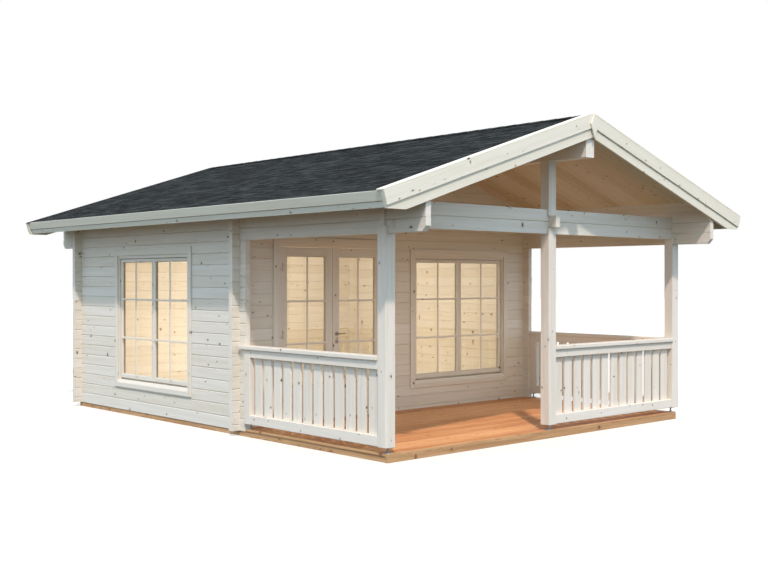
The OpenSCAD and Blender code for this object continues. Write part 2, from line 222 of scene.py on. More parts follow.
class Mat:
    def __init__(self, name):
        self.mat = bpy.data.materials.new(name)
        self.mat.use_nodes = True
        self.t = self.mat.node_tree
        self.t.nodes.clear()
        self.out = self.t.nodes.new("ShaderNodeOutputMaterial")
        self.p = self.t.nodes.new("ShaderNodeBsdfPrincipled")
        self.t.links.new(self.p.outputs[0], self.out.inputs[0])

    def put(self, sock, val):
        if isinstance(val, bpy.types.NodeSocket):
            self.t.links.new(val, sock)
        else:
            sock.default_value = val

    def node(self, kind, ins=None, **kw):
        n = self.t.nodes.new(kind)
        for k, v in kw.items():
            setattr(n, k, v)
        for k, v in (ins or {}).items():
            self.put(n.inputs[k], v)
        return n

    def math(self, op, a, b=0.0, clamp=False):
        n = self.node("ShaderNodeMath", operation=op, use_clamp=clamp)
        self.put(n.inputs[0], a)
        self.put(n.inputs[1], b)
        return n.outputs[0]

    def vmath(self, op, a, b):
        n = self.node("ShaderNodeVectorMath", operation=op)
        self.put(n.inputs[0], a)
        self.put(n.inputs[1], b)
        return n.outputs[0]

    def mix(self, fac, a, b, blend="MIX"):
        n = self.node("ShaderNodeMix", data_type="RGBA", blend_type=blend)
        self.put(n.inputs[0], fac)
        self.put(n.inputs[6], a)
        self.put(n.inputs[7], b)
        return n.outputs[2]

    def span(self, v, a, b, c=0.0, d=1.0, smooth=False):
        n = self.node("ShaderNodeMapRange", {"Value": v, "From Min": a, "From Max": b, "To Min": c, "To Max": d})
        n.interpolation_type = "SMOOTHSTEP" if smooth else "LINEAR"
        return n.outputs[0]

    def attr(self, name, out):
        return self.node("ShaderNodeAttribute", attribute_name=name).outputs[out]

    def noise(self, vec, scale, detail=2.0, rough=0.5, dist=0.0):
        return self.node("ShaderNodeTexNoise", {"Vector": vec, "Scale": scale, "Detail": detail,
                                                "Roughness": rough, "Distortion": dist}).outputs[0]

    def bump(self, height, strength, distance):
        n = self.node("ShaderNodeBump", {"Height": height, "Strength": strength, "Distance": distance})
        self.put(self.p.inputs["Normal"], n.outputs[0])


def wood(name, pale, deep, core, halo, keep=0.75, ring=0.30, tone=0.30, streak=0.5, rough=0.62, spec=0.3,
         bump=0.25, big=1.0):
    """Sawn softwood: growth rings round an off-centre pith, streaks, fibres, and round knots with a paler rim."""
    w = Mat(name)
    g = w.attr("gco", "Vector")
    rnd = w.attr("rnd", "Fac")
    # knots run out from the pith, so they are placed by length along it and angle round it
    sep = w.node("ShaderNodeSeparateXYZ", {"Vector": g})
    turn = w.math("MULTIPLY", w.math("ARCTAN2", sep.outputs[2], sep.outputs[1]), 0.055)
    wob = w.noise(w.vmath("MULTIPLY", g, (70.0, 70.0, 70.0)), 1.0, 1.0)
    polar = w.node("ShaderNodeCombineXYZ", {"X": sep.outputs[0], "Y": turn})
    vor = w.node("ShaderNodeTexVoronoi", {"Vector": polar.outputs[0], "Scale": 4.2, "Randomness": 1.0}, feature="F1",
                 voronoi_dimensions="2D")
    cell = w.node("ShaderNodeSeparateColor", {"Color": vor.outputs["Color"]})
    gap = w.node("ShaderNodeSeparateXYZ", {"Vector": w.vmath("SUBTRACT", polar.outputs[0], vor.outputs["Position"])})
    r2 = w.math("ADD", w.math("MULTIPLY", sep.outputs[1], sep.outputs[1]), w.math("MULTIPLY", sep.outputs[2], sep.outputs[2]))
    across = w.math("MULTIPLY", gap.outputs[1], w.math("MULTIPLY", w.math("MAXIMUM", w.math("SQRT", r2), 0.03), 1 / 0.055))
    along = w.math("MULTIPLY", gap.outputs[0], 0.5)
    far = w.math("SQRT", w.math("ADD", w.math("MULTIPLY", along, along), w.math("MULTIPLY", across, across)))
    dist = w.math("ADD", far, w.span(wob, 0.0, 1.0, -0.003, 0.003))
    size = w.math("MULTIPLY_ADD", w.math("POWER", cell.outputs[0], 2.0), 0.0065 * big)
    size.node.inputs[2].default_value = 0.0042 * big
    has = w.math("LESS_THAN", cell.outputs[1], keep)
    knot = w.math("MULTIPLY", w.span(dist, w.math("MULTIPLY", size, 0.6), size, 1.0, 0.0, True), has)
    rim = w.math("MULTIPLY", w.span(dist, size, w.math("MULTIPLY", size, 2.6), 1.0, 0.0, True), has)
    pull = w.math("MULTIPLY", w.span(far, 0.0, 0.05, 1.0, 0.0, True), has)
    # rings, bent by slow waves along the board and by the knots
    slow = w.node("ShaderNodeTexNoise", {"Vector": w.vmath("MULTIPLY", g, (0.9, 2.5, 2.5)), "Scale": 1.0,
                                         "Detail": 2.0}).outputs[1]
    bend = w.vmath("MULTIPLY", w.vmath("SUBTRACT", slow, (0.5, 0.5, 0.5)), (0.0, 0.075, 0.075))
    away = w.node("ShaderNodeCombineXYZ", {"Y": w.math("MULTIPLY", pull, 0.012), "Z": w.math("MULTIPLY", pull, 0.009)})
    gw = w.vmath("ADD", w.vmath("ADD", g, bend), away.outputs[0])
    rings = w.node("ShaderNodeTexWave", {"Vector": gw, "Scale": 58.0, "Distortion": 1.6, "Detail": 2.0,
                                         "Detail Scale": 0.5}, wave_type="RINGS", rings_direction="X",
                   wave_profile="SAW").outputs[1]
    band = w.span(w.noise(w.vmath("MULTIPLY", gw, (0.7, 26.0, 26.0)), 1.0, 3.0, 0.55), 0.33, 0.68)
    fine = w.noise(w.vmath("MULTIPLY", gw, (7.0, 420.0, 420.0)), 1.0, 2.0, 0.6)
    k = w.math("ADD", w.math("MULTIPLY", band, streak), w.math("MULTIPLY", w.math("POWER", rings, 2.0), ring))
    k = w.math("ADD", k, w.span(fine, 0.3, 0.7, -0.12, 0.12))
    k = w.math("ADD", k, w.span(rnd, 0.0, 1.0, -tone, tone), clamp=True)
    col = w.mix(k, pale, deep)
    col = w.mix(w.math("MULTIPLY", rim, 0.4), col, halo)
    col = w.mix(w.math("MULTIPLY", knot, 0.95), col, core)
    w.put(w.p.inputs["Base Color"], col)
    w.put(w.p.inputs["Roughness"], w.span(fine, 0.2, 0.8, rough + 0.08, rough - 0.08))
    w.p.inputs["Specular IOR Level"].default_value = spec
    h = w.math("ADD", w.math("MULTIPLY", rings, 0.35), w.math("MULTIPLY", fine, 0.45))
    h = w.math("SUBTRACT", h, w.math("MULTIPLY", knot, 0.35))
    w.bump(h, bump, 0.0012)
    return w.mat


KNOT, RIM = lin(84, 66, 50), lin(196, 178, 150)
SPRUCE = lin(228, 220, 203), lin(214, 203, 180)
CREAM = lin(229, 219, 201), lin(215, 203, 181)
M_LOG = wood("log_wood_whitewashed", *SPRUCE, KNOT, RIM, keep=0.65, tone=0.22, streak=0.62)
M_RAIL = wood("rail_wood_whitewashed", *CREAM, KNOT, RIM, keep=0.65, tone=0.22, streak=0.62)
M_TRIM = wood("trim_wood_whitewashed", lin(228, 220, 198), lin(214, 204, 178), KNOT, RIM, keep=0.85, tone=0.2, streak=0.55)
# painted shade: a darker, greener whitewash for the eave fascias, which stand in the shade of the roof edge
M_EAVE_SHADE = wood("eave_wood_painted_shade", lin(212, 208, 188), lin(199, 193, 169), KNOT, RIM, keep=0.6, tone=0.15, streak=0.55)
M_JOIN = wood("joinery_wood_whitewashed", *SPRUCE, KNOT, RIM, keep=0.45, tone=0.15, streak=0.5)
# painted shade: dark brown for the upright beads in the left window's inner reveals
M_BEAD_SHADE = wood("glazing_bead_painted_shade", lin(150, 124, 98), lin(124, 98, 74), lin(40, 28, 20), lin(60, 42, 30), keep=0.2)
# painted shade, lighter: a darker cream for the beads behind the glass of the front window and the doors
M_BEADP = wood("glazing_bead_pale", lin(214, 198, 172), lin(198, 180, 150), KNOT, RIM, keep=0.2)
M_PINE = wood("pine_inside", lin(232, 221, 202), lin(219, 203, 177), lin(120, 84, 54), lin(206, 172, 132), tone=0.3)
M_ROOFB = wood("roof_board_pine", lin(222, 208, 182), lin(198, 177, 141), lin(110, 78, 52), lin(182, 148, 110), tone=0.45)
# painted shade: darker, greener boards for the shaded front overhang
M_ROOF_OVERHANG_SHADE = wood("roof_board_overhang_painted_shade", lin(212, 196, 166), lin(169, 163, 126), lin(104, 76, 52), lin(176, 150, 112), tone=0.6, streak=0.3, ring=0.2)
M_FLOOR = wood("floor_pine", lin(226, 202, 166), lin(206, 172, 128), lin(110, 70, 42), lin(186, 136, 88), rough=0.45)
M_DECK = wood("deck_oiled", lin(234, 173, 117), lin(192, 126, 76), lin(100, 56, 30), lin(152, 90, 52), keep=0.5, ring=0.5,
              tone=0.42, streak=0.8, rough=0.5)
M_BASE = wood("base_impregnated", lin(210, 167, 118), lin(158, 113, 70), lin(112, 74, 44), lin(138, 96, 58), keep=1.0, tone=0.3,
              ring=0.55, streak=0.65, big=1.3)


def shingle():
    w = Mat("bitumen_shingle")
    g = w.attr("gco", "Vector")
    rnd = w.attr("rnd", "Fac")
    grit = w.node("ShaderNodeTexVoronoi", {"Vector": g, "Scale": 420.0}, feature="F1")
    gc = w.node("ShaderNodeSeparateColor", {"Color": grit.outputs["Color"]}).outputs[0]
    cloud = w.span(w.noise(w.vmath("MULTIPLY", g, (9.0, 2.6, 9.0)), 1.0, 4.0, 0.6), 0.3, 0.7)
    at = w.node("ShaderNodeTexCoord").outputs["Object"]
    patch = w.span(w.noise(w.vmath("MULTIPLY", at, (6.0, 2.2, 6.0)), 1.0, 4.0, 0.6), 0.40, 0.60)
    streak = w.span(w.noise(w.vmath("MULTIPLY", at, (17.0, 5.0, 17.0)), 1.0, 5.0, 0.66), 0.40, 0.60)
    k = w.math("ADD", w.math("MULTIPLY", patch, 0.28), w.math("MULTIPLY", rnd, 0.22))
    k = w.math("ADD", k, w.math("MULTIPLY", streak, 0.48))
    k = w.math("ADD", k, w.math("MULTIPLY", cloud, 0.12))
    col = w.mix(w.math("POWER", k, 2.0, clamp=True), lin(6, 7, 7), lin(66, 69, 66))
    col = w.mix(w.span(gc, 0.0, 1.0, 0.0, 0.3), col, lin(44, 48, 48))
    col = w.mix(w.span(gc, 0.0, 0.35, 0.5, 0.0), col, lin(10, 11, 11))
    col = w.mix(w.span(gc, 0.93, 0.96, 0.0, 0.5), col, lin(110, 114, 112))
    w.put(w.p.inputs["Base Color"], col)
    w.put(w.p.inputs["Roughness"], w.span(gc, 0.0, 1.0, 0.78, 0.95))
    w.p.inputs["Specular IOR Level"].default_value = 0.03
    h = w.math("ADD", w.math("MULTIPLY", gc, 0.7), w.math("MULTIPLY", cloud, 0.5))
    w.bump(h, 0.6, 0.0016)
    return w.mat


M_SHINGLE = shingle()


def steel(name, a, b, rough, spangle, shine=1.0):
    w = Mat(name)
    g = w.attr("gco", "Vector")
    v = w.node("ShaderNodeTexVoronoi", {"Vector": g, "Scale": spangle}, feature="F1")
    c = w.node("ShaderNodeSeparateColor", {"Color": v.outputs["Color"]}).outputs[0]
    n = w.noise(w.vmath("MULTIPLY", g, (30.0, 900.0, 900.0)), 1.0, 2.0)
    w.put(w.p.inputs["Base Color"], w.mix(w.math("MULTIPLY_ADD", c, 0.6), a, b))
    w.put(w.p.inputs["Roughness"], w.span(w.math("ADD", c, n), 0.4, 1.6, rough - 0.08, rough + 0.12))
    w.p.inputs["Metallic"].default_value = shine
    w.bump(n, 0.12, 0.0004)
    return w.mat


M_STEEL = steel("galvanised_steel", lin(128, 124, 118), lin(168, 164, 157), 0.5, 160.0, 0.35)
M_HINGE = steel("hinge_steel_pale", lin(196, 182, 160), lin(214, 201, 180), 0.5, 60.0, 0.15)
M_HANDLE = steel("brushed_handle_steel", lin(150, 140, 128), lin(178, 168, 155), 0.42, 40.0, 0.55)


def glass():
    w = Mat("clear_window_glass")
    w.t.nodes.remove(w.p)
    n = w.noise(w.node("ShaderNodeTexCoord").outputs["Object"], 1.6, 2.0)
    bump = w.node("ShaderNodeBump", {"Height": n, "Strength": 0.06, "Distance": 0.02})
    clear = w.node("ShaderNodeBsdfTransparent", {"Color": (0.93, 0.955, 0.95, 1.0)})
    shine = w.node("ShaderNodeBsdfGlossy", {"Color": (0.95, 0.97, 1.0, 1.0), "Roughness": 0.02,
                                            "Normal": bump.outputs[0]})
    mixer = w.node("ShaderNodeMixShader")
    mixer.inputs[0].default_value = 0.04
    w.put(mixer.inputs[1], clear.outputs[0])
    w.put(mixer.inputs[2], shine.outputs[0])
    w.put(w.out.inputs[0], mixer.outputs[0])
    return w.mat


M_GLASS = glass()
for name in ("window_glass", "left_door_glass", "right_door_glass"):
    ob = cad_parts[name]
    if not ob.data.materials:
        ob.data.materials.append(M_GLASS)
    for s in ob.material_slots:
        s.material = M_GLASS


# ---------------------------------------------------------------- log walls
def log_poly(z0, z1, lo=True, hi=True, mid=(), t=T, g=0.0075):
    """Section of one log: a V joint above and below, with a narrow dark slit at its bottom."""
    b, s, k = 0.0045, 0.0013, 0.016
    low = [(g, z0), (t - b, z0), (t, z0 + b)] if lo else [(0.0, z0), (t, z0)]
    up = [(t, z1 - s - b), (t - b, z1 - s), (t - k, z1 - s), (t - k, z1),
          (k, z1), (k, z1 - s), (g, z1 - s), (0.0, z1 - s - g)] if hi else [(t, z1), (0.0, z1)]
    tail = [(0.0, z0 + g)] if lo else []
    return low + [(t, z) for z in mid] + up + [(0.0, z) for z in reversed(mid)] + tail


def inner_mats(poly, inner):
    n = len(poly)
    return [inner if (poly[i][0] + poly[(i + 1) % n][0]) / 2 > T / 2 else 0 for i in range(n)]


def course(P, o, A, U, z0, z1, u0, u1, holes=(), lo=True, hi=True, room=None, cut0=None, cut1=None, ends=0.0015,
           mid=(), poly=None, g=0.0075):
    """One log from u0 to u1; holes are cut out of it, and its face towards the room is bare pine between room's ends."""
    here = [h for h in holes if h[2] < z1 - 1e-4 and h[3] > z0 + 1e-4]
    stops = sorted({u0, u1, *[u for h in here for u in h[:2] if u0 < u < u1],
                    *[u for u in (room or ()) if u0 < u < u1]})
    gr = P.grain(0.05)
    for ua, ub in zip(stops, stops[1:]):
        m = (ua + ub) / 2
        inner = 1 if room and room[0] < m < room[1] else 0
        cut = [h for h in here if h[0] < m < h[1]]
        spans = [(z0, z1, lo, hi)]
        if cut:
            spans = []
            if cut[0][2] > z0 + 0.004:
                spans.append((z0, cut[0][2], lo, False))
            if cut[0][3] < z1 - 0.004:
                spans.append((cut[0][3], z1, False, hi))
        for a, b, l, h in spans:
            pl = poly or log_poly(a, b, l, h, mid, g=g)
            # grain stays with the log, not with the cut length
            zc, pc = (z0 + z1) / 2, sum(p[1] for p in pl) / len(pl)
            q = (gr[0], gr[1], gr[2] + pc - zc, gr[3])
            P.prism(pl, o, A, Z, U, ua, ub, grain=q, mats=inner_mats(pl, inner),
                    ch=(ends if ua == u0 else 0.0, ends if ub == u1 else 0.0),
                    cut0=cut0 if ua == u0 else None, cut1=cut1 if ub == u1 else None)


def side_wall(name, sx, holes, nodes):
    P = Piece(name)
    o, A = Vector((sx * XW, 0, 0)), -sx * X
    for n in range(16):
        course(P, o, A, Y, side_z(n), side_z(n + 1), YV - 0.105, YE + 0.105, holes, lo=n > 0,
               room=(YV + 0.035, YE - 0.035))
    P.make("house", nodes, [M_LOG, M_PINE])


def side_top(name, sx, nodes):
    P = Piece(name)
    o, A = Vector((sx * XW, 0, 0)), -sx * X
    y0, y1, y2 = YRF + 0.048, YRB - 0.060, YRB - 0.002
    zc = SIDE_TOP + 0.057
    room = (YV + 0.035, YE - 0.035)
    course(P, o, A, Y, SIDE_TOP, side_z(17), y0, y2, room=room, mid=(zc,), ends=0.0,
           cut0=lambda a, b: y0 + max(0.0, zc - b) * 51 / 57, cut1=lambda a, b: y2 - max(0.0, zc - b) * 51 / 57)
    course(P, o, A, Y, side_z(17), side_z(18), y0, y2, room=room)
    course(P, o, A, Y, side_z(18), side_z(19), y0, y1, room=room)
    z0 = side_z(19)
    pl = [(0.006, z0), (T - 0.006, z0), (T, z0 + 0.007), (T, under(XW - T)), (0, under(XW)), (0, z0 + 0.007)]
    course(P, o, A, Y, z0, under(XW - T), y0, y1, room=room, poly=pl)
    P.make("house", nodes, [M_LOG, M_PINE])


WIN = (0.425, 2.117)
side_wall("left_wall_logs", -1, [(YS - 0.88, YS + 0.88) + WIN],
          ["left_wall_front", "left_wall_back", "left_wall_at_window"])
side_wall("right_wall_logs", 1, [], ["right_wall"])
side_top("left_wall_upper_logs", -1, ["left_wall_top"])
side_top("right_wall_upper_logs", 1, ["right_wall_top"])


def cross_courses():
    yield ZB, cross_z(0)
    for n in range(26):
        yield cross_z(n), cross_z(n + 1)


def cross_wall(name, y, A, holes, nodes, half=XW - T, g=0.0075):
    P = Piece(name)
    o = Vector((0, y, 0))
    room = (-half, half)
    for z0, z1 in cross_courses():
        if z0 >= under(0.07) - 0.01:
            break
        lo = z0 > ZB
        e1 = lambda a, b: min(half, max(0.001, x_roof(b)))
        e0 = lambda a, b: -e1(a, b)
        if z1 <= 3.12:
            course(P, o, A, X, z0, min(z1, 3.106), -half, half, holes, lo=lo, hi=z1 < 3.1, room=room, cut0=e0, cut1=e1,
                   ends=0.0, g=g)
            continue
        z1 = min(z1, under(0.07))
        e2 = lambda a, b: max(0.0712, x_roof(b))
        course(P, o, A, X, z0, z1, 0.0705, half, lo=lo, room=room, ends=0.0, cut1=e2, g=g)
        course(P, o, A, X, z0, z1, -half, -0.0705, lo=lo, room=room, ends=0.0, cut0=lambda a, b: -e2(a, b), g=g)
    P.make("house", nodes, [M_LOG, M_PINE])


DOOR_HOLE = (-OPEN_X - 0.85, -OPEN_X + 0.85, 0.0, 2.212)
cross_wall("front_wall_logs", YV, Y, [DOOR_HOLE, (OPEN_X - 0.88, OPEN_X + 0.88) + WIN],
           ["front_wall_left", "front_wall_middle", "front_wall_right", "front_wall_at_window", "front_wall_gable"], g=0.0042)
cross_wall("back_wall_logs", YE, -Y, [], ["back_wall"])

P = Piece("corner_logs")
for sx in (-1, 1):
    for y0 in (YV, YE - T):
        for z0, z1 in cross_courses():
            if x_roof(z0) < XW + 0.03:
                break
            z1 = min(z1, under(XW))
            course(P, Vector((0, y0, 0)), Y, sx * X, z0, z1, XW, XW + 0.105, lo=z0 > ZB, ends=0.0,
                   cut1=lambda a, b: max(XW + 0.001, min(XW + 0.105, x_roof(b))))
P.make("house", ["corner_log_ends"], [M_LOG])

# ---------------------------------------------------------------- veranda frame
PY = YB - 0.016
TIE_Y = PY + (POST - T) / 2
TIE0, TIE1 = cross_z(16), cross_z(18)
BLK0, BLK1 = side_z(17), side_z(18)
P = Piece("tie_beam_logs")
for n in (16, 17):
    course(P, Vector((0, TIE_Y, 0)), Y, X, cross_z(n), cross_z(n + 1), -XW + T, XW - T, lo=n > 16, hi=n < 17,
           holes=[(-0.0352, 0.0352, BLK0, BLK1)])
    for a, b in ((-XW - 0.031, -XW), (XW, XW + 0.031)):
        course(P, Vector((0, TIE_Y, 0)), Y, X, cross_z(n), cross_z(n + 1), a, b, lo=n > 16, hi=n < 17, ends=0.0025)
P.make("house", ["front_tie_beam"], [M_LOG])

P = Piece("centre_block_log")
P.box(WORLD, -0.035, 0.035, PY - 0.077, PY + POST + 0.097, BLK0, BLK1, "y", 0.004)
P.make("house", ["centre_block"], [M_LOG])


def upright(P, x0, x1, y0, y1, z0, z1, slot=None, slot_z=None, across="y", c=0.006):
    """Square post; slot (lo, hi) is cut through it across x or y from slot_z to one end."""
    gr = P.grain(0.06)
    if slot is None:
        P.prism(rect(x0, x1, y0, y1, c), O, X, Y, Z, z0, z1, ch=0.003, grain=gr)
        return
    a0, a1 = slot_z
    full = (z0, a0) if a0 > z0 else (a1, z1)
    P.prism(rect(x0, x1, y0, y1, c), O, X, Y, Z, full[0], full[1], grain=gr,
            ch=(0.003 if full[0] == z0 and a0 > z0 else 0.0, 0.0))
    for lo, hi in ((0, slot[0]), (slot[1], 1)):
        if across == "y":
            b0, b1 = (y0, slot[0]) if lo == 0 else (slot[1], y1)
            pl = [(x0 + c, b0), (x1 - c, b0), (x1, b0 + c), (x1, b1), (x0, b1), (x0, b0 + c)] if lo == 0 else \
                 [(x0, b0), (x1, b0), (x1, b1 - c), (x1 - c, b1), (x0 + c, b1), (x0, b1 - c)]
        else:
            b0, b1 = (x0, slot[0]) if lo == 0 else (slot[1], x1)
            pl = [(b0 + c, y0), (b1, y0), (b1, y1), (b0 + c, y1), (b0, y1 - c), (b0, y0 + c)] if lo == 0 else \
                 [(b0, y0), (b1 - c, y0), (b1, y0 + c), (b1, y1 - c), (b1 - c, y1), (b0, y1)]
        cx, cy = (x0 + x1) / 2, (y0 + y1) / 2
        px, py = sum(p[0] for p in pl) / 6, sum(p[1] for p in pl) / 6
        P.prism(pl, O, X, Y, Z, a0, a1, grain=(gr[0], gr[1] + px - cx, gr[2] + py - cy, gr[3]))


P = Piece("king_post_timber")
upright(P, -POST / 2, POST / 2, PY, PY + POST, BLK1, 3.106, (TIE_Y - 0.0005, TIE_Y + T + 0.0005), (BLK1, TIE1))
P.make("house", ["king_post"], [M_RAIL])

P = Piece("veranda_post_timbers")
for sx in (-1, 1):
    xs = sorted((sx * 2.404, sx * 2.531))
    sl = sorted((sx * 2.4295, sx * 2.5005))
    upright(P, xs[0], xs[1], PY, PY + POST, ZD + FOOT, TIE0, sl, (SIDE_TOP, TIE0), "x")
upright(P, -POST / 2, POST / 2, PY, PY + POST, ZD + FOOT, BLK0, (TIE_Y - 0.0005, TIE_Y + T + 0.0005), (TIE0, BLK0))
P.make("house", ["veranda_posts"], [M_RAIL])

STILE_Y = YV - 0.105 - 0.124
P = Piece("post_feet_steel")


def foot(x, y, a):
    o = Vector((x, y, ZD))
    P.prism(rrect(-a / 2, a / 2, -a / 2, a / 2, 0.006), o, X, Y, Z, 0.0, 0.006, ch=0.0008)
    P.prism(rrect(-a / 2, a / 2, -a / 2, a / 2, 0.004), o, X, Y, Z, FOOT - 0.006, FOOT, ch=0.0008)
    P.prism(circle(0.0165, 6), o, X, Y, Z, 0.006, 0.0155, ch=0.0012)
    n = 20
    p = (FOOT - 0.006 - 0.0155) / n
    for i in range(n):  # thread
        z = 0.0155 + i * p
        P.prism(circle(0.0100, 16), o, X, Y, Z, z, z + p, ch=0.0007, smooth=True)
    for sx in (-1, 1):
        for sy in (-1, 1):
            q = o + X * (sx * a * 0.36) + Y * (sy * a * 0.36)
            P.prism(circle(0.0052, 6), q, X, Y, Z, 0.006, 0.0095, ch=0.0008)


for x, y, a in ((-XW + 0.05, PY + POST / 2, 0.08), (XW - 0.05, PY + POST / 2, 0.08), (0, PY + POST / 2, 0.08),
                (-XW + 0.035, STILE_Y + 0.062, 0.06), (XW - 0.035, STILE_Y + 0.062, 0.06)):
    foot(x, y, a)
P.make("house", ["post_feet"], [M_STEEL])

# ---------------------------------------------------------------- railings
ZT = ZD + 0.949


def railing(P, F, length, count, stile=0.0):
    """Panel in the frame F: x along it, y inwards from its outer face."""
    o, LX, LY = F
    gr = P.grain()
    P.prism(rrect(-0.025, 0.095, ZT - 0.045, ZT, 0.010, 3, 0.005), o, LY, Z, LX, 0.0, length + stile, ch=0.003, grain=gr)
    P.box(F, 0, length, 0, 0.070, ZT - 0.135, ZT - 0.0452, "x", 0.004)
    P.box(F, 0, length, 0, 0.070, 0.152, 0.257, "x", 0.004)
    g = (length - count * 0.130) / (count + 1)
    for i in range(count):
        x = g + i * (0.130 + g)
        P.box(F, x, x + 0.130, 0.040, 0.064, 0.2572, ZT - 0.1352, "z", 0.003)
    if stile:
        P.box(F, length, length + stile, 0.0, 0.070, ZD + FOOT, ZT - 0.0452, "z", 0.005)
        # outer part of the handrail runs on beside the log ends
        P.prism(rrect(-0.025, 0.023, ZT - 0.045, ZT, 0.010, 3, 0.005), o, LY, Z, LX, length + stile + 0.0002,
                length + stile + 0.070, ch=(0.0, 0.003), grain=gr)


for name, sx in (("left", -1), ("right", 1)):
    P = Piece(name + "_railing_boards")
    railing(P, (Vector((sx * 2.525, PY + POST, 0)), Y, -sx * X), STILE_Y - PY - POST, 12, 0.124)
    P.make("house", [name + "_railing"], [M_RAIL])
P = Piece("front_railing_boards")
railing(P, (Vector((POST / 2, YB, 0)), X, Y), 2.531 - 1.5 * POST, 13)
P.make("house", ["front_railing"], [M_RAIL])

# ---------------------------------------------------------------- base, deck, floor
P = Piece("base_beams")
y0 = YB + 0.0284
P.box(WORLD, -XW, XW, YB, YB + 0.028, 0.0, ZD, "x", 0.003)
for x in (-XW + 0.010, XW - 0.07):
    P.box(WORLD, x, x + 0.06, y0, YE, 0.0, ZB, "y", 0.003)
P.box(WORLD, -0.035, 0.035, y0, YE - 0.0702, 0.0, ZB, "y", 0.003)
rows = [YV] + [YB + i * (YV + 0.07 - YB - 0.07) / 4 for i in range(1, 4)] + \
       [YV + i * (YE - YV - 0.07) / 6 for i in range(1, 7)]
for y in [y0] + rows:
    w = 0.0415 if y == y0 else 0.07
    halves = ((-XW + 0.0702, -0.0352), (0.0352, XW - 0.0702))
    for a, b in (((-XW + 0.0702, XW - 0.0702),) if y == rows[-1] else halves):
        P.box(WORLD, a, b, y, y + w, 0.0, ZB, "x", 0.003)
P.make("house", ["base_frame"], [M_BASE])

P = Piece("veranda_deck_boards")
edge = 0.030
for x in (-XW, XW - edge):
    P.box(WORLD, x, x + edge, y0, YV - 0.1055, ZB + 0.002, ZD, "y", 0.003, mat=1)
pitch = (YV - 0.1055 - y0) / 16
for i in range(16):
    P.box(WORLD, -XW + edge + 0.002, XW - edge - 0.002, y0 + i * pitch + 0.002, y0 + (i + 1) * pitch - 0.002, ZB, ZD, "x", 0.005)
P.box(WORLD, -XW + T + 0.001, XW - T - 0.001, YV - 0.1035, YV - 0.001, ZB, ZD, "x", 0.0035)
P.make("house", ["veranda_deck"], [M_DECK, M_BASE])

P = Piece("room_floor_boards")
n = 40
pitch = (YE - YV - 2 * T) / n
for i in range(n):
    P.box(WORLD, -XW + T, XW - T, YV + T + i * pitch + 0.0003, YV + T + (i + 1) * pitch - 0.0003, ZB, ZD, "x", 0.0015)
P.make("house", ["room_floor"], [M_FLOOR])

# ---------------------------------------------------------------- roof
APEX = Vector((0, 0, RIDGE))


def slope(sx):
    """Down-slope direction and outward normal of one roof slope."""
    return Vector((sx * CP, 0, -SP)), Vector((sx * SP, 0, CP))


def s_at(x, n):
    return (x + n * SP) / CP


P = Piece("roof_board_slats")
y0, y1, n = YRF + 0.047, YRB - 0.047, 62
pitch = (y1 - y0) / n
for sx in (-1, 1):
    S, N = slope(sx)
    for i in range(n):
        a0, a1 = y0 + i * pitch + 0.0004, y0 + (i + 1) * pitch - 0.0004
        c = 0.0015
        pl = [(a0 + c, -0.044), (a1 - c, -0.044), (a1, -0.044 + c), (a1, -0.0242), (a0, -0.0242), (a0, -0.044 + c)]
        gr = P.grain()
        # lighter and darker boards in slow waves paint streaks of light across the ceiling; the small random part is
        # each board's own tone
        tone = 0.5 + 0.42 * math.sin(2 * math.pi * (i + 1.2) / 5.6) + 0.25 * (gr[3] - 0.5)
        # the first eight boards at the front take a darker, greener wood that paints the shade under the front
        # overhang, darkest at the front edge and paling over eight boards
        m = 1 if i < 8 else 0
        tone = 1.0 - i / 7 if m else tone
        P.prism(pl, APEX, Y, N, S, 0, 0, cut0=lambda a, b: s_at(0.0006, -b), cut1=lambda a, b: FASC_S - 0.0283,
                grain=gr[:3] + (min(1.0, max(0.0, tone)),), mats=m)
P.make("house", ["roof_boards"], [M_ROOFB, M_ROOF_OVERHANG_SHADE])

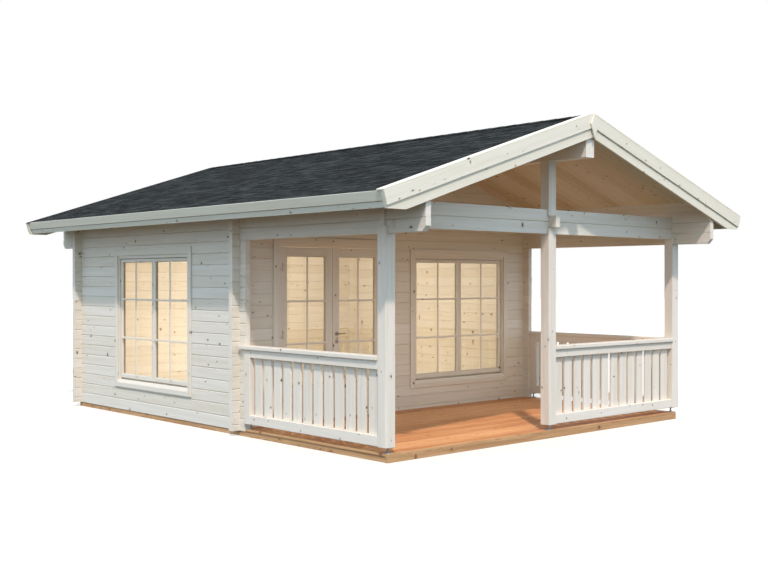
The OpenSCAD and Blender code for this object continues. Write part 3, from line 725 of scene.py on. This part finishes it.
P = Piece("roof_shingles")
q = P.rng
ROW, LEN = 0.143, 0.168
s_low, s_end = SL + 0.005, FASC_S - 0.0085
for sx in (-1, 1):
    S, N = slope(sx)
    up = -S
    P.prism([(y0 + 0.001, -0.0240), (y1 - 0.001, -0.0240), (y1 - 0.001, -0.0225), (y0 + 0.001, -0.0225)], APEX, Y, N, S,
            0, 0, cut0=lambda a, b: s_at(0.002, -b), cut1=lambda a, b: s_end, grain=(0, 0, 0, 0.1))
    row = 0
    while True:
        s0 = s_low - row * ROW if row else s_end
        if s0 < 0.06:
            break
        ln = min(LEN, s0 - 0.012) if row else LEN - (s_low - s_end)
        lift = math.atan2(0.0030, LEN)
        U = (up * math.cos(lift) - N * math.sin(lift)).normalized()
        NN = (N * math.cos(lift) + up * math.sin(lift)).normalized()
        o = APEX + S * s0 - N * (0.0225 - 0.0032)
        a = y0 + 0.001 - q.uniform(0.0, 0.30)
        while a < y1 - 0.002:
            wd = q.choice((0.16, 0.22, 0.30, 0.36)) + q.uniform(-0.02, 0.02)
            a0, a1 = max(a, y0 + 0.001), min(a + wd, y1 - 0.001)
            a += wd + 0.004
            if a1 - a0 < 0.03:
                continue
            th = 0.0016 if q.random() < 0.6 else 0.0028
            c = 0.0006
            off = q.uniform(-0.004, 0.003) if row else 0.0
            P.prism([(a0, 0), (a1, 0), (a1, th - c), (a1 - c, th), (a0 + c, th), (a0, th - c)], o, Y, NN, U, off, ln,
                    ch=(0.0005, 0.0), grain=(q.uniform(0, 30), q.uniform(0, 30), q.uniform(0, 30), q.random()), gaxis="u")
        row += 1
    # sheet lapped over the back bargeboards
    b = YRB - 0.105
    P.prism([(b - 0.090, -0.0225), (b - 0.0002, -0.0225), (b - 0.0002, -0.0126), (b - 0.020, -0.0126), (b - 0.086, -0.0160)],
            APEX, Y, N, S, 0, 0, cut0=lambda a, b: 0.13, cut1=lambda a, b: s_end, grain=(3, 5, 7, 0.4))
    P.prism([(b, -0.0178), (YRB - 0.001, -0.0178), (YRB, -0.0168), (YRB, -0.0136), (YRB - 0.001, -0.0126), (b, -0.0126)],
            APEX, Y, N, S, 0, 0, cut0=lambda a, b: s_at(0.0006, -b), cut1=lambda a, b: SL - 0.001, grain=(9, 5, 7, 0.35))
P.make("house", ["roof_covering"], [M_SHINGLE])

P = Piece("ridge_cap_shingles")
q = P.rng
y = YRF + 0.107
step = 0.198
tilt = math.atan2(0.0042, 0.25)
k = 0
while y < YRB - 0.108:
    ln = min(0.25, YRB - 0.107 - y)
    U = Vector((0, math.cos(tilt), -math.sin(tilt)))
    B = Vector((0, math.sin(tilt), math.cos(tilt)))
    n1, n0, hw = 0.0102, 0.0148, 0.118
    pl = [(-hw, -TP * hw - n0 / CP), (-0.006, -n0 / CP - 0.001), (0.006, -n0 / CP - 0.001), (hw, -TP * hw - n0 / CP),
          (hw, -TP * hw - n1 / CP), (0.012, -TP * 0.012 - n1 / CP), (-0.012, -TP * 0.012 - n1 / CP),
          (-hw, -TP * hw - n1 / CP)]
    P.prism(pl, Vector((0, y, RIDGE + (0.0032 if k else 0.0032))), X, B, U, 0.0, ln, ch=0.0008,
            grain=(q.uniform(0, 30), q.uniform(0, 30), q.uniform(0, 30), q.uniform(0.2, 0.9)))
    y += step
    k += 1
P.make("house", ["ridge_cap"], [M_SHINGLE])

P = Piece("verge_cap_boards")
for sx in (-1, 1):
    S, N = slope(sx)
    P.prism(rect(YRF, YRF + 0.105, -0.018, 0.0, 0.003), APEX, Y, N, S, 0, SL, ch=(0.0, 0.003),
            cut0=lambda a, b: -b * TP + 0.0006)
P.make("house", ["verge_caps"], [M_TRIM])


def barge(name, y, d, node):
    P = Piece(name)
    t = 0.016
    se = SL - 0.003
    nb = (RIDGE - se * SP - BARGE_Z0) / CP
    for sx in (-1, 1):
        S, N = slope(sx)
        ya, yb = sorted((y, y + d * t))
        P.prism(rect(ya, yb, -0.156, -0.0182, 0.003), APEX, Y, N, S, 0, SL, ch=(0.0, 0.003),
                cut0=lambda a, b: -b * TP + 0.0006)
        ya, yb = sorted((y + d * (t + 0.0002), y + d * 0.047))
        c = 0.003
        pl = [(ya + c, -0.258), (yb - c, -0.258), (yb, -0.258 + c), (yb, -nb), (yb, -0.0182), (ya, -0.0182), (ya, -nb),
              (ya, -0.258 + c)]
        P.prism(pl, APEX, Y, N, S, 0, 0, cut0=lambda a, b: -b * TP + 0.0006,
                cut1=lambda a, b: min(se, (RIDGE + b * CP - BARGE_Z0) / SP))
    P.make("house", [node], [M_TRIM])


barge("front_barge_boards", YRF, 1, "front_bargeboards")
barge("back_barge_boards", YRB, -1, "back_bargeboards")

P = Piece("apex_cover_boards")
for a, b, t in ((YRF - 0.018, YRF - 0.0002, RIDGE), (YRB + 0.0002, YRB + 0.018, RIDGE - 0.0125 / CP)):
    P.prism([(0, t - 0.001), (-0.066, t - 0.128), (0, t - 0.280), (0.066, t - 0.128)], O, X, Z, Y, a, b, ch=0.004, gaxis="b")
P.make("house", ["apex_covers"], [M_TRIM])

P = Piece("eave_fascia_boards")
for sx in (-1, 1):
    S, N = slope(sx)
    f, c, m = FASC_S, 0.003, FASC_N1
    # both fascia boards take the darker eave wood that paints the shade under the roof edge
    P.prism([(f - 0.028, -m + 0.001), (f - c, -m + 0.001), (f, -m + 0.001 + c), (f, -0.0203), (f - 0.002, -0.0183), (f - 0.008, -0.0183),
             (f - 0.008, -0.0243), (f - 0.028, -0.0243)],
            APEX, S, N, Y, YRF + 0.0472, YRB - 0.0472)
    P.prism(rect(f - 0.028, f - 0.009, -FASC_N2, -m - 0.005, c), APEX, S, N, Y, YRF + 0.0472, YRB - 0.0472)
P.make("house", ["eave_fascias"], [M_EAVE_SHADE, M_TRIM])

P = Piece("ridge_beam_timber")
h, c, zu = 0.070, 0.005, 3.106
pl = [(-h + c, zu), (h - c, zu), (h, zu + c), (h, under(h)), (0, under(0)), (-h, under(h)), (-h, zu + c)]
gr = P.grain(0.05)
for a, b, m in ((YRF + 0.0475, YV + 0.035, 0), (YV + 0.035, YE - 0.035, 1), (YE - 0.035, YRB - 0.0475, 0)):
    P.prism(pl, O, X, Z, Y, a, b, ch=(0.003 if m == 0 and a < 0 else 0.0, 0.003 if m == 0 and a > 0 else 0.0), mats=m, grain=gr)
P.make("house", ["ridge_beam"], [M_LOG, M_PINE])


# ---------------------------------------------------------------- windows
def window(name, F, frame_node, sash_node, bead):
    o, LX, LY = F
    P = Piece(name + "_frame_boards")
    z0, z1 = WIN
    h, st = 0.88, 0.0652
    for s in (-1, 1):
        xs = sorted((s * 0.85, s * h))
        P.box(F, xs[0], xs[1], 0.0, 0.080, z0, z1, "z", 0.002)
        xs = sorted((s * 0.876, s * 0.948))
        P.box(F, xs[0], xs[1], -0.020, -0.0002, z0 - 0.068, z1 + 0.068, "z", 0.003)
        xs = sorted((s * 0.822, s * 0.8498))
        P.box(F, xs[0], xs[1], st, 0.080, z0 + 0.0312, z1 - 0.0602, "z", 0.002)
    P.box(F, -0.8498, 0.8498, 0.0, 0.080, z1 - 0.060, z1, "x", 0.002)
    P.box(F, -0.8498, 0.8498, 0.0002, 0.080, z0, z0 + 0.031, "x", 0.002)
    # stops behind the sashes
    P.box(F, -0.8218, 0.8218, st, 0.080, z1 - 0.092, z1 - 0.0602, "x", 0.002)
    P.box(F, -0.8218, 0.8218, st, 0.080, z0 + 0.0312, z0 + 0.090, "x", 0.002)
    P.box(F, -0.8758, 0.8758, -0.020, -0.0002, z1 - 0.019, z1 + 0.068, "x", 0.003)
    P.box(F, -0.8758, 0.8758, -0.020, -0.0002, z0 - 0.068, z0 - 0.0130, "x", 0.002)
    P.prism([(-0.0198, z0 - 0.0128), (-0.0002, z0 - 0.0128), (-0.0002, z0 + 0.031), (-0.0014, z0 + 0.031),
             (-0.0198, z0 - 0.0105)], o, LY, Z, LX, -0.8758, 0.8758)
    P.make("house", [frame_node], [M_JOIN])

    P = Piece(name + "_sash_bars")
    s0, s1, g0, g1 = z0 + 0.053, z1 - 0.067, z0 + 0.103, z1 - 0.105
    x0, x1 = 0.040, 0.806
    ya, yb = 0.020, 0.064
    for s in (-1, 1):
        def bx(a, b, *rest, **kw):
            a, b = sorted((s * a, s * b))
            P.box(F, a, b, *rest, **kw)
        bx(0.002, x0, ya, yb, s0, s1, "z", 0.003)
        bx(x1, 0.847, ya, yb, s0, s1, "z", 0.003)
        bx(x0 + 0.0002, x1 - 0.0002, ya, yb, g1, s1, "x", 0.003)
        bx(x0 + 0.0002, x1 - 0.0002, ya, yb, s0, g0, "x", 0.003)
        # glazing beads behind the pane; the two upright ones take the bead material, a darker wood that paints the
        # shade in the reveals behind the glass: dark brown on the left window, darker cream on the front window
        bx(x0 + 0.0002, x0 + 0.008, 0.0442, yb - 0.001, g0 + 0.0002, g1 - 0.0002, "z", 0.002, mat=1)
        bx(x1 - 0.008, x1 - 0.0002, 0.0442, yb - 0.001, g0 + 0.0002, g1 - 0.0002, "z", 0.002, mat=1)
        bx(x0 + 0.0082, x1 - 0.0082, 0.0442, yb - 0.001, g0 + 0.0002, g0 + 0.008, "x", 0.002)
        bx(x0 + 0.0082, x1 - 0.0082, 0.0442, yb - 0.001, g1 - 0.008, g1 - 0.0002, "x", 0.002)
        # grille of bars on the outer face, lapping on to the sash
        xm = (x0 + x1) / 2
        bx(xm - 0.012, xm + 0.012, 0.006, 0.0198, g0 - 0.016, g1 + 0.016, "z", 0.003)
        for zc in (1.012, 1.520):
            bx(x0 - 0.016, xm - 0.0122, 0.006, 0.0198, zc - 0.012, zc + 0.012, "x", 0.003)
            bx(xm + 0.0122, x1 + 0.016, 0.006, 0.0198, zc - 0.012, zc + 0.012, "x", 0.003)
    P.make("house", [sash_node], [M_JOIN, bead])


window("front_window", (Vector((OPEN_X, YV, 0)), X, Y), "front_window_frame", "front_window_sashes", M_BEADP)
window("left_window", (Vector((-XW, YS, 0)), -Y, X), "left_window_frame", "left_window_sashes", M_BEAD_SHADE)

# ---------------------------------------------------------------- double door
DF = (Vector((-OPEN_X, YV, 0)), X, Y)
P = Piece("door_frame_boards")
for s in (-1, 1):
    a, b = sorted((s * 0.780, s * 0.850))
    P.box(DF, a, b, 0.0, 0.080, ZD, 2.212, "z", 0.002)
    a, b = sorted((s * 0.846, s * 0.918))
    P.box(DF, a, b, -0.020, -0.0002, ZD, 2.280, "z", 0.003)
P.box(DF, -0.7798, 0.7798, 0.0, 0.080, 2.172, 2.212, "x", 0.002)
P.box(DF, -0.8458, 0.8458, -0.020, -0.0002, 2.208, 2.280, "x", 0.003)
P.box(DF, -0.7798, 0.7798, 0.0, 0.080, ZD + 0.0002, 0.108, "x", 0.004)
P.box(DF, -0.8498, 0.8498, 0.0, T, ZB, ZD, "x", 0.001)
P.make("house", ["door_frame"], [M_JOIN])


def leaf(name, s, node, body):
    P = Piece(name + "_boards")

    def bx(a, b, *rest, **kw):
        a, b = sorted((s * a, s * b))
        P.box(DF, a, b, *rest, **kw)
    z0, z1, g0, g1 = 0.113, 2.167, 0.505, 2.062
    x0, x1 = 0.106, 0.697
    bx(0.0025, x0, 0.015, 0.055, z0, z1, "z", 0.003)
    bx(x1, 0.775, 0.015, 0.055, z0, z1, "z", 0.003)
    xa, xb, xm = x0 + 0.0002, x1 - 0.0002, (x0 + x1) / 2
    bx(xa, xb, 0.015, 0.055, g1, z1, "x", 0.003)
    bx(xa, xb, 0.015, 0.055, 0.405, g0, "x", 0.003)
    bx(xa, xb, 0.015, 0.055, z0, z0 + 0.150, "x", 0.003)
    # bottom panel with a raised field on both faces
    bx(xa + 0.0002, xb - 0.0002, 0.028, 0.042, z0 + 0.1502, 0.4048, "x", 0.001)
    bx(x0 + 0.030, x1 - 0.030, 0.0215, 0.0278, z0 + 0.178, 0.377, "x", 0.006, ch=0.006)
    bx(x0 + 0.030, x1 - 0.030, 0.0422, 0.0485, z0 + 0.178, 0.377, "x", 0.006, ch=0.006)
    # glazing beads behind the pane, in a darker cream that paints light shade in the reveals behind the glass
    bx(xa, x0 + 0.008, 0.0382, 0.054, g0 + 0.0002, g1 - 0.0002, "z", 0.002, mat=1)
    bx(x1 - 0.008, xb, 0.0382, 0.054, g0 + 0.0002, g1 - 0.0002, "z", 0.002, mat=1)
    bx(x0 + 0.0082, x1 - 0.0082, 0.0382, 0.054, g0 + 0.0002, g0 + 0.008, "x", 0.002, mat=1)
    bx(x0 + 0.0082, x1 - 0.0082, 0.0382, 0.054, g1 - 0.008, g1 - 0.0002, "x", 0.002, mat=1)
    # grille of bars on the outer face, lapping on to the leaf
    bx(xm - 0.012, xm + 0.012, 0.003, 0.0148, g0 - 0.016, g1 + 0.016, "z", 0.003)
    for zc in (1.012, 1.522):
        bx(x0 - 0.016, xm - 0.0122, 0.003, 0.0148, zc - 0.012, zc + 0.012, "x", 0.003)
        bx(xm + 0.0122, x1 + 0.016, 0.003, 0.0148, zc - 0.012, zc + 0.012, "x", 0.003)
    P.make(body, [node], [M_JOIN, M_BEADP])

    H = Piece(name + "_hinge_barrels")
    o = DF[0] + X * (s * 0.7775) - Y * 0.009
    for z in (0.330, 1.130, 1.930):
        H.prism(circle(0.0065, 20), o, X, Y, Z, z + 0.0005, z + 0.050, ch=0.0012, smooth=True)
        H.prism(circle(0.0048, 20), o, X, Y, Z, z + 0.0502, z + 0.055, ch=0.0016, smooth=True)
        a, b = sorted((s * -0.0065, s * -0.0030))
        H.prism(rect(a, b, 0.0, 0.0238, 0.0006), o, X, Y, Z, z + 0.006, z + 0.045, ch=0.0006)
        a, b = sorted((s * -0.040, s * -0.0032))
        H.prism(rect(a, b, 0.0212, 0.0238, 0.0006), o, X, Y, Z, z + 0.0055, z + 0.0455, ch=0.0006)
        for dz in (0.015, 0.036):
            H.prism(circle(0.0036, 12), o + X * (s * -0.024) + Z * (z + dz), X, Z, -Y, -0.0212, -0.0200, ch=0.0004)
    H.make(body, [], [M_HINGE])


leaf("left_door", -1, "left_door", "left_leaf")
leaf("right_door", 1, "right_door", "right_leaf")

H = Piece("door_hinge_pins")
for s in (-1, 1):
    o = DF[0] + X * (s * 0.7775) - Y * 0.009
    for z in (0.330, 1.130, 1.930):
        H.prism(circle(0.0065, 20), o, X, Y, Z, z - 0.050, z - 0.0005, ch=0.0012, smooth=True)
        H.prism(circle(0.0048, 20), o, X, Y, Z, z - 0.055, z - 0.0502, ch=0.0016, smooth=True)
        a, b = sorted((s * 0.0030, s * 0.040))
        H.prism(rect(a, b, 0.0062, 0.0088, 0.0006), o, X, Y, Z, z - 0.0455, z - 0.0055, ch=0.0006)
        for dz in (-0.015, -0.036):
            H.prism(circle(0.0036, 12), o + X * (s * 0.026) + Z * (z + dz), X, Z, -Y, -0.0062, -0.0050, ch=0.0004)
H.make("house", [], [M_HINGE])

P = Piece("door_lever_handle")
for side in (0, 1):
    o = DF[0] + X * 0.061 + Y * (0.015 if side == 0 else 0.055) + Z * 1.115
    out = -Y if side == 0 else Y
    P.prism(circle(0.026, 32), o, X, Z, out, 0.0, 0.008, ch=0.0016, smooth=True)
    P.prism(circle(0.026, 32), o - Z * 0.095, X, Z, out, 0.0, 0.008, ch=0.0016, smooth=True)
    P.prism(circle(0.010, 20), o, X, Z, out, 0.0081, 0.034, ch=0.001, smooth=True)
    # key slot: a raised insert in dark grey that paints the shade of a round hole with a foot
    P.prism(circle(0.0042, 16), o - Z * 0.092, X, Z, out, 0.0081, 0.0090, ch=0.0002, mats=1, ends=1)
    P.prism(rect(-0.0014, 0.0014, -0.013, -0.0045, 0.0003), o - Z * 0.092, X, Z, out, 0.0081, 0.0089, mats=1, ends=1)
    P.prism(rrect(-0.0095, 0.0095, -0.0085, 0.0085, 0.007, 5), o + out * 0.041, out, Z, X, -0.011, 0.098, ch=0.003, smooth=True)
    P.prism(rrect(-0.0088, 0.0088, -0.0080, 0.0080, 0.007, 5), o + out * 0.041 + X * 0.0982, out, Z, X, 0.0, 0.0165, ch=0.005,
            smooth=True)
w = Mat("key_slot_painted_shade")
w.put(w.p.inputs["Base Color"], w.mix(w.noise(w.attr("gco", "Vector"), 90.0), lin(22, 22, 23), lin(36, 36, 38)))
w.p.inputs["Roughness"].default_value = 0.6
P.make("right_leaf", ["door_handle"], [M_HANDLE, w.mat])

# ---------------------------------------------------------------- stage, light, camera
me = bpy.data.meshes.new("floor")
r, n = 90.0, 48
me.from_pydata([(0, 0, -0.001)] + [(r * math.cos(2 * math.pi * i / n), r * math.sin(2 * math.pi * i / n), -0.001) for i in range(n)],
               [], [(0, 1 + i, 1 + (i + 1) % n) for i in range(n)])
floor = bpy.data.objects.new("floor", me)
bpy.context.scene.collection.objects.link(floor)
w = Mat("pale_floor")
w.t.nodes.remove(w.p)
tint = w.mix(w.noise(w.node("ShaderNodeTexCoord").outputs["Object"], 0.7, 3.0), (0.50, 0.40, 0.31, 1), (0.52, 0.41, 0.32, 1))
pale = w.node("ShaderNodeBsdfDiffuse", {"Color": tint})
dim = w.node("ShaderNodeBsdfDiffuse", {"Color": (0.074, 0.066, 0.052, 1)})
glow = w.node("ShaderNodeEmission", {"Color": (1, 1, 1, 1), "Strength": 0.5})
seen = w.node("ShaderNodeAddShader", {0: pale.outputs[0], 1: glow.outputs[0]})
both = w.node("ShaderNodeMixShader", {0: w.node("ShaderNodeLightPath").outputs["Is Diffuse Ray"], 1: seen.outputs[0],
                                      2: dim.outputs[0]})
w.put(w.out.inputs[0], both.outputs[0])
me.materials.append(w.mat)

world = bpy.data.worlds.new("studio")
bpy.context.scene.world = world
world.use_nodes = True
nt = world.node_tree
nt.nodes.clear()
wo = nt.nodes.new("ShaderNodeOutputWorld")
sky = nt.nodes.new("ShaderNodeBackground")
sky.inputs[0].default_value = (0.606, 0.781, 1.0, 1.0)
sky.inputs[1].default_value = 1.63
seen = nt.nodes.new("ShaderNodeBackground")
seen.inputs[0].default_value = (1.0, 1.0, 1.0, 1.0)
seen.inputs[1].default_value = 1.0
lp = nt.nodes.new("ShaderNodeLightPath")
mx = nt.nodes.new("ShaderNodeMixShader")
both = nt.nodes.new("ShaderNodeMath")
both.operation = "MAXIMUM"
nt.links.new(lp.outputs["Is Camera Ray"], both.inputs[0])
nt.links.new(lp.outputs["Is Glossy Ray"], both.inputs[1])
nt.links.new(both.outputs[0], mx.inputs[0])
nt.links.new(sky.outputs[0], mx.inputs[1])
nt.links.new(seen.outputs[0], mx.inputs[2])
nt.links.new(mx.outputs[0], wo.inputs[0])


def light(name, kind, **kw):
    d = bpy.data.lights.new(name, kind)
    for k, v in kw.items():
        setattr(d, k, v)
    ob = bpy.data.objects.new(name, d)
    bpy.context.scene.collection.objects.link(ob)
    return ob


sun = light("key_light", "SUN", energy=2.90, angle=math.radians(2.2), color=(1.0, 0.885, 0.87))
sun.rotation_euler = Vector((0.383, 0.497, -0.778)).to_track_quat("-Z", "Y").to_euler()
room = light("room_light", "AREA", energy=40.0, color=(1.0, 0.98, 0.97), shape="RECTANGLE", size=3.6, size_y=2.8)
room.location = (0.0, 1.28, 2.72)
lamp = light("room_fill", "POINT", energy=66.0, color=(1.0, 0.98, 0.95), shadow_soft_size=0.5)
lamp.location = (-0.75, 1.5, 0.75)
porch = light("veranda_fill", "AREA", energy=5.6, color=(1.0, 0.64, 0.26), shape="RECTANGLE", size=4.6, size_y=1.2,
              spread=math.radians(100))
porch.location = (0.5, -3.0, 1.05)
porch.rotation_euler = (math.radians(90), 0.0, 0.0)
side = light("room_side_fill", "POINT", energy=18.0, color=(1.0, 0.98, 0.95), shadow_soft_size=0.4)
side.location = (1.0, 1.0, 0.40)
for ob in (room, lamp, side, porch):
    ob.visible_camera = False
    ob.visible_glossy = False

cam_d = bpy.data.cameras.new("camera")
cam_d.sensor_fit = "HORIZONTAL"
cam_d.sensor_width = 36.0
cam_d.lens = 50.25
cam_d.shift_y = -0.01048
cam_d.clip_end = 300.0
cam = bpy.data.objects.new("camera", cam_d)
bpy.context.scene.collection.objects.link(cam)
cam.location = (-9.4813, -10.8755, 1.7770)
cam.rotation_euler = (math.radians(90), 0.0, math.radians(-42.1188))
bpy.context.scene.camera = cam

vs = bpy.context.scene.view_settings
vs.view_transform = "Standard"
vs.look = "None"
vs.exposure = 0.0
vs.gamma = 1.0
